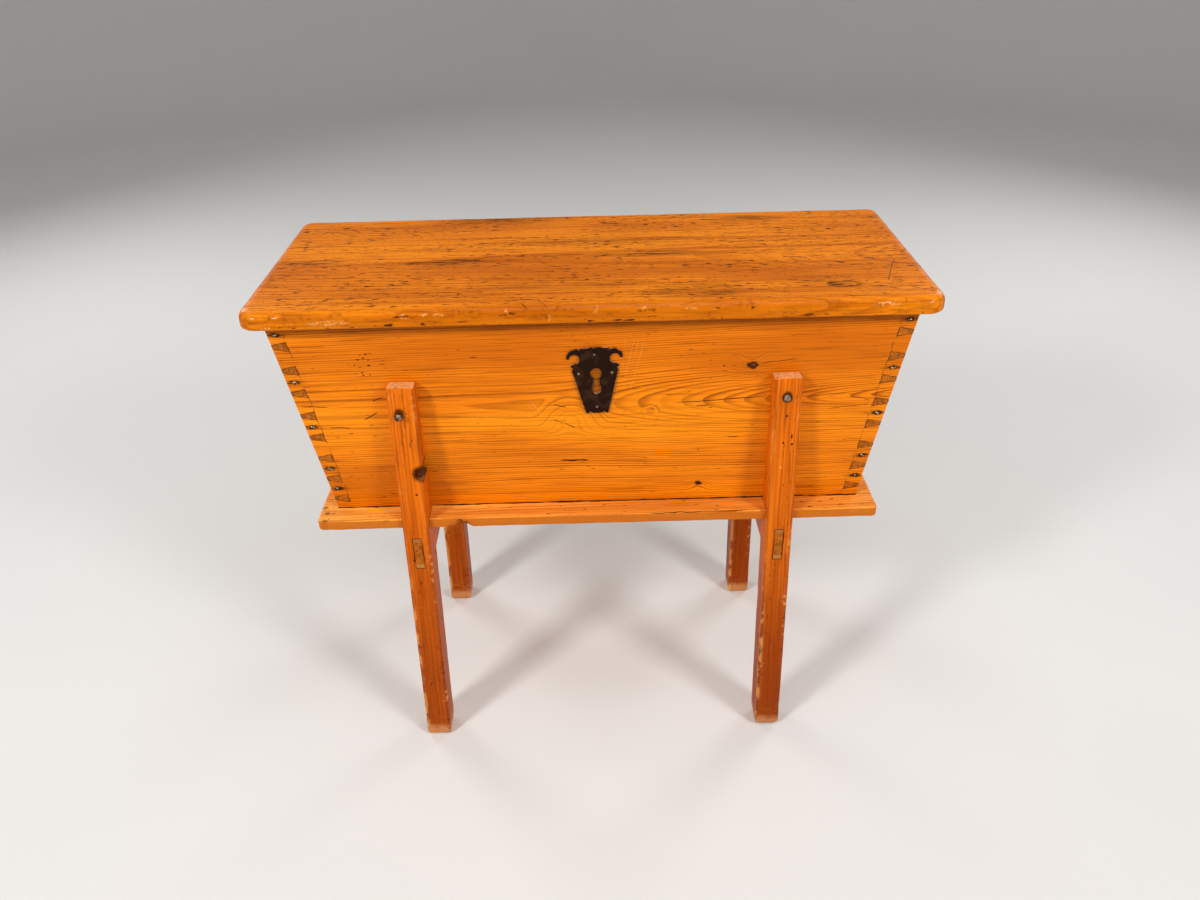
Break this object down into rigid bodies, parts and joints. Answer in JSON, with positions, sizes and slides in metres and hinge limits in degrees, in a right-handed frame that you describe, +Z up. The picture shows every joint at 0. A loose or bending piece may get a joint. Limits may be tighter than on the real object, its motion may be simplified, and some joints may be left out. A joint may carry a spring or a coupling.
{
  "type": "dough box on stand",
  "caption": "Splayed, through-dovetailed pine dough box with a rear-hinged lid and horned iron lock plate, on raked legs tied by wedged cross rails.",
  "frame": {"origin": "on the floor, under the centre of the object", "axes": "+X along the length of the box to the viewer's right, +Y from the front to the back, +Z up"},
  "size_m": [0.9588, 0.4056, 0.8],
  "materials": {
    "honey_pine": "aged honey-orange pine, waxed satin",
    "reddish_pine": "red-brown stained pine, satin with worn arrises",
    "peach_pine": "peach-toned pine, satin",
    "pale_wedge_wood": "pale split wood, dry end grain",
    "black_iron": "blackened forged iron with bright rubbed edges",
    "worn_iron": "dark worn iron"
  },
  "bodies": {
    "box_and_stand": {"back_board": "honey_pine", "base_board": "peach_pine", "front_base_nail_1": "worn_iron", "front_base_nail_2": "worn_iron", "front_base_nail_3": "worn_iron", "front_board": "honey_pine", "front_left_corner_nail_1": "black_iron", "front_left_corner_nail_2": "black_iron", "front_left_corner_nail_3": "black_iron", "front_left_corner_nail_4": "black_iron", "front_left_corner_nail_5": "black_iron", "front_left_leg": "reddish_pine", "front_left_leg_screw": "worn_iron", "front_left_lower_wedge": "pale_wedge_wood", "front_left_upper_wedge": "pale_wedge_wood", "front_right_corner_nail_1": "black_iron", "front_right_corner_nail_2": "black_iron", "front_right_corner_nail_3": "black_iron", "front_right_corner_nail_4": "black_iron", "front_right_corner_nail_5": "black_iron", "front_right_leg": "reddish_pine", "front_right_leg_screw": "worn_iron", "front_right_lower_wedge": "pale_wedge_wood", "front_right_upper_wedge": "pale_wedge_wood", "left_cross_rail": "reddish_pine", "left_end_board": "honey_pine", "left_hinge_box_leaf": "black_iron", "left_hinge_box_screw_1": "worn_iron", "left_hinge_box_screw_2": "worn_iron", "left_hinge_pin": "worn_iron", "lock_plate": "black_iron", "lock_plate_nail_foot": "worn_iron", "lock_plate_nail_left": "worn_iron", "lock_plate_nail_right": "worn_iron", "lock_plate_nail_top": "worn_iron", "rear_base_nail_1": "worn_iron", "rear_base_nail_2": "worn_iron", "rear_base_nail_3": "worn_iron", "rear_left_leg": "reddish_pine", "rear_left_leg_screw": "worn_iron", "rear_left_lower_wedge": "pale_wedge_wood", "rear_left_upper_wedge": "pale_wedge_wood", "rear_right_leg": "reddish_pine", "rear_right_leg_screw": "worn_iron", "rear_right_lower_wedge": "pale_wedge_wood", "rear_right_upper_wedge": "pale_wedge_wood", "right_cross_rail": "reddish_pine", "right_end_board": "honey_pine", "right_hinge_box_leaf": "black_iron", "right_hinge_box_screw_1": "worn_iron", "right_hinge_box_screw_2": "worn_iron", "right_hinge_pin": "worn_iron"},
    "lid_assembly": {"lid": "honey_pine", "left_hinge_lid_leaf": "black_iron", "left_hinge_lid_screw_1": "worn_iron", "left_hinge_lid_screw_2": "worn_iron", "right_hinge_lid_leaf": "black_iron", "right_hinge_lid_screw_1": "worn_iron", "right_hinge_lid_screw_2": "worn_iron"}
  },
  "joints": [
    {"name": "lid_hinge", "type": "hinge", "parent": "box_and_stand", "child": "lid_assembly", "pos_m": [0, 0.1695, 0.7707], "axis": [-1, 0, 0], "range_deg": [0, 105]}
  ]
}
